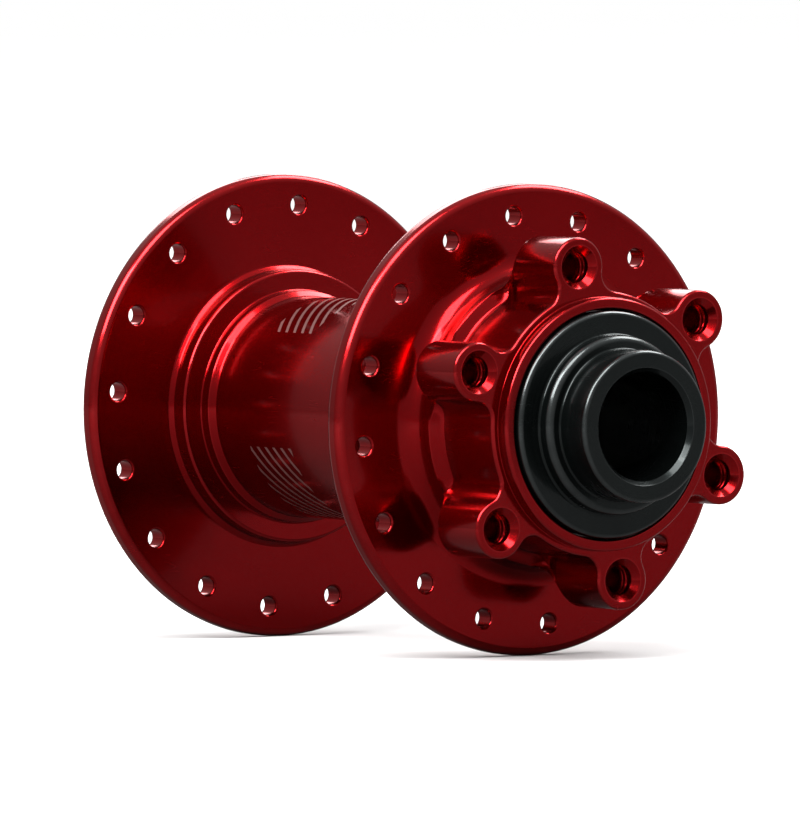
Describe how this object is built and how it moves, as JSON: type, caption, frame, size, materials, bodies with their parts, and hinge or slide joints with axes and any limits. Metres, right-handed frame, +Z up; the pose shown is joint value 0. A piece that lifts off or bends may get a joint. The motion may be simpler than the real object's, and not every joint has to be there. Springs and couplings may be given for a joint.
{
  "type": "bicycle front hub",
  "caption": "Flanged front bicycle hub in red anodised aluminium, with a bolted disc mount, sealed ball bearings and black pull-off end caps for a through axle.",
  "frame": {"origin": "on the axle line, midway between the two faces that meet the fork; this is also the centre of the bounding box", "axes": "+Y along the axle towards the drive side, so the disc mount is at -Y; +Z up; +X completes the right-handed frame"},
  "size_m": [0.0654, 0.11, 0.0654],
  "materials": {
    "red_anodised": "polished and anodised deep red, glossy",
    "black_anodised": "turned and anodised black, satin to glossy",
    "turned_aluminium": "plain turned",
    "bearing_steel": "ground",
    "ball_steel": "polished",
    "seal_rubber": "moulded, matt",
    "ring_rubber": "moulded, lightly greased",
    "cage_nylon": "moulded, natural colour"
  },
  "bodies": {
    "axle": {"axle_sleeve": "turned_aluminium", "disc_side_inner_race": "bearing_steel", "drive_side_inner_race": "bearing_steel"},
    "shell": {"hub_shell": "red_anodised", "disc_side_outer_race": "bearing_steel", "disc_side_outboard_seal": "seal_rubber", "disc_side_inboard_seal": "seal_rubber", "drive_side_outer_race": "bearing_steel", "drive_side_outboard_seal": "seal_rubber", "drive_side_inboard_seal": "seal_rubber"},
    "disc_cage": {"disc_side_ball_cage": "cage_nylon", "disc_side_ball_01": "ball_steel", "disc_side_ball_02": "ball_steel", "disc_side_ball_03": "ball_steel", "disc_side_ball_04": "ball_steel", "disc_side_ball_05": "ball_steel", "disc_side_ball_06": "ball_steel", "disc_side_ball_07": "ball_steel", "disc_side_ball_08": "ball_steel", "disc_side_ball_09": "ball_steel", "disc_side_ball_10": "ball_steel", "disc_side_ball_11": "ball_steel", "disc_side_ball_12": "ball_steel"},
    "drive_cage": {"drive_side_ball_cage": "cage_nylon", "drive_side_ball_01": "ball_steel", "drive_side_ball_02": "ball_steel", "drive_side_ball_03": "ball_steel", "drive_side_ball_04": "ball_steel", "drive_side_ball_05": "ball_steel", "drive_side_ball_06": "ball_steel", "drive_side_ball_07": "ball_steel", "drive_side_ball_08": "ball_steel", "drive_side_ball_09": "ball_steel", "drive_side_ball_10": "ball_steel", "drive_side_ball_11": "ball_steel", "drive_side_ball_12": "ball_steel"},
    "disc_cap": {"disc_side_end_cap": "black_anodised", "disc_side_cap_o_ring": "ring_rubber"},
    "drive_cap": {"drive_side_end_cap": "black_anodised", "drive_side_cap_o_ring": "ring_rubber"}
  },
  "joints": [
    {"name": "hub_spin", "type": "hinge", "parent": "axle", "child": "shell", "pos_m": [0, 0, 0], "axis": [0, 1, 0], "continuous": true},
    {"name": "disc_cage_orbit", "type": "hinge", "parent": "axle", "child": "disc_cage", "pos_m": [0, -0.0407, 0], "axis": [0, 1, 0], "continuous": true},
    {"name": "drive_cage_orbit", "type": "hinge", "parent": "axle", "child": "drive_cage", "pos_m": [0, 0.0407, 0], "axis": [0, 1, 0], "continuous": true},
    {"name": "disc_cap_pull", "type": "slide", "parent": "axle", "child": "disc_cap", "axis": [0, -1, 0], "range_m": [0, 0.02]},
    {"name": "drive_cap_pull", "type": "slide", "parent": "axle", "child": "drive_cap", "axis": [0, 1, 0], "range_m": [0, 0.02]}
  ],
  "couplings": [
    {"joint": "disc_cage_orbit", "follows": "hub_spin", "ratio": 0.56731},
    {"joint": "drive_cage_orbit", "follows": "hub_spin", "ratio": 0.56731}
  ]
}
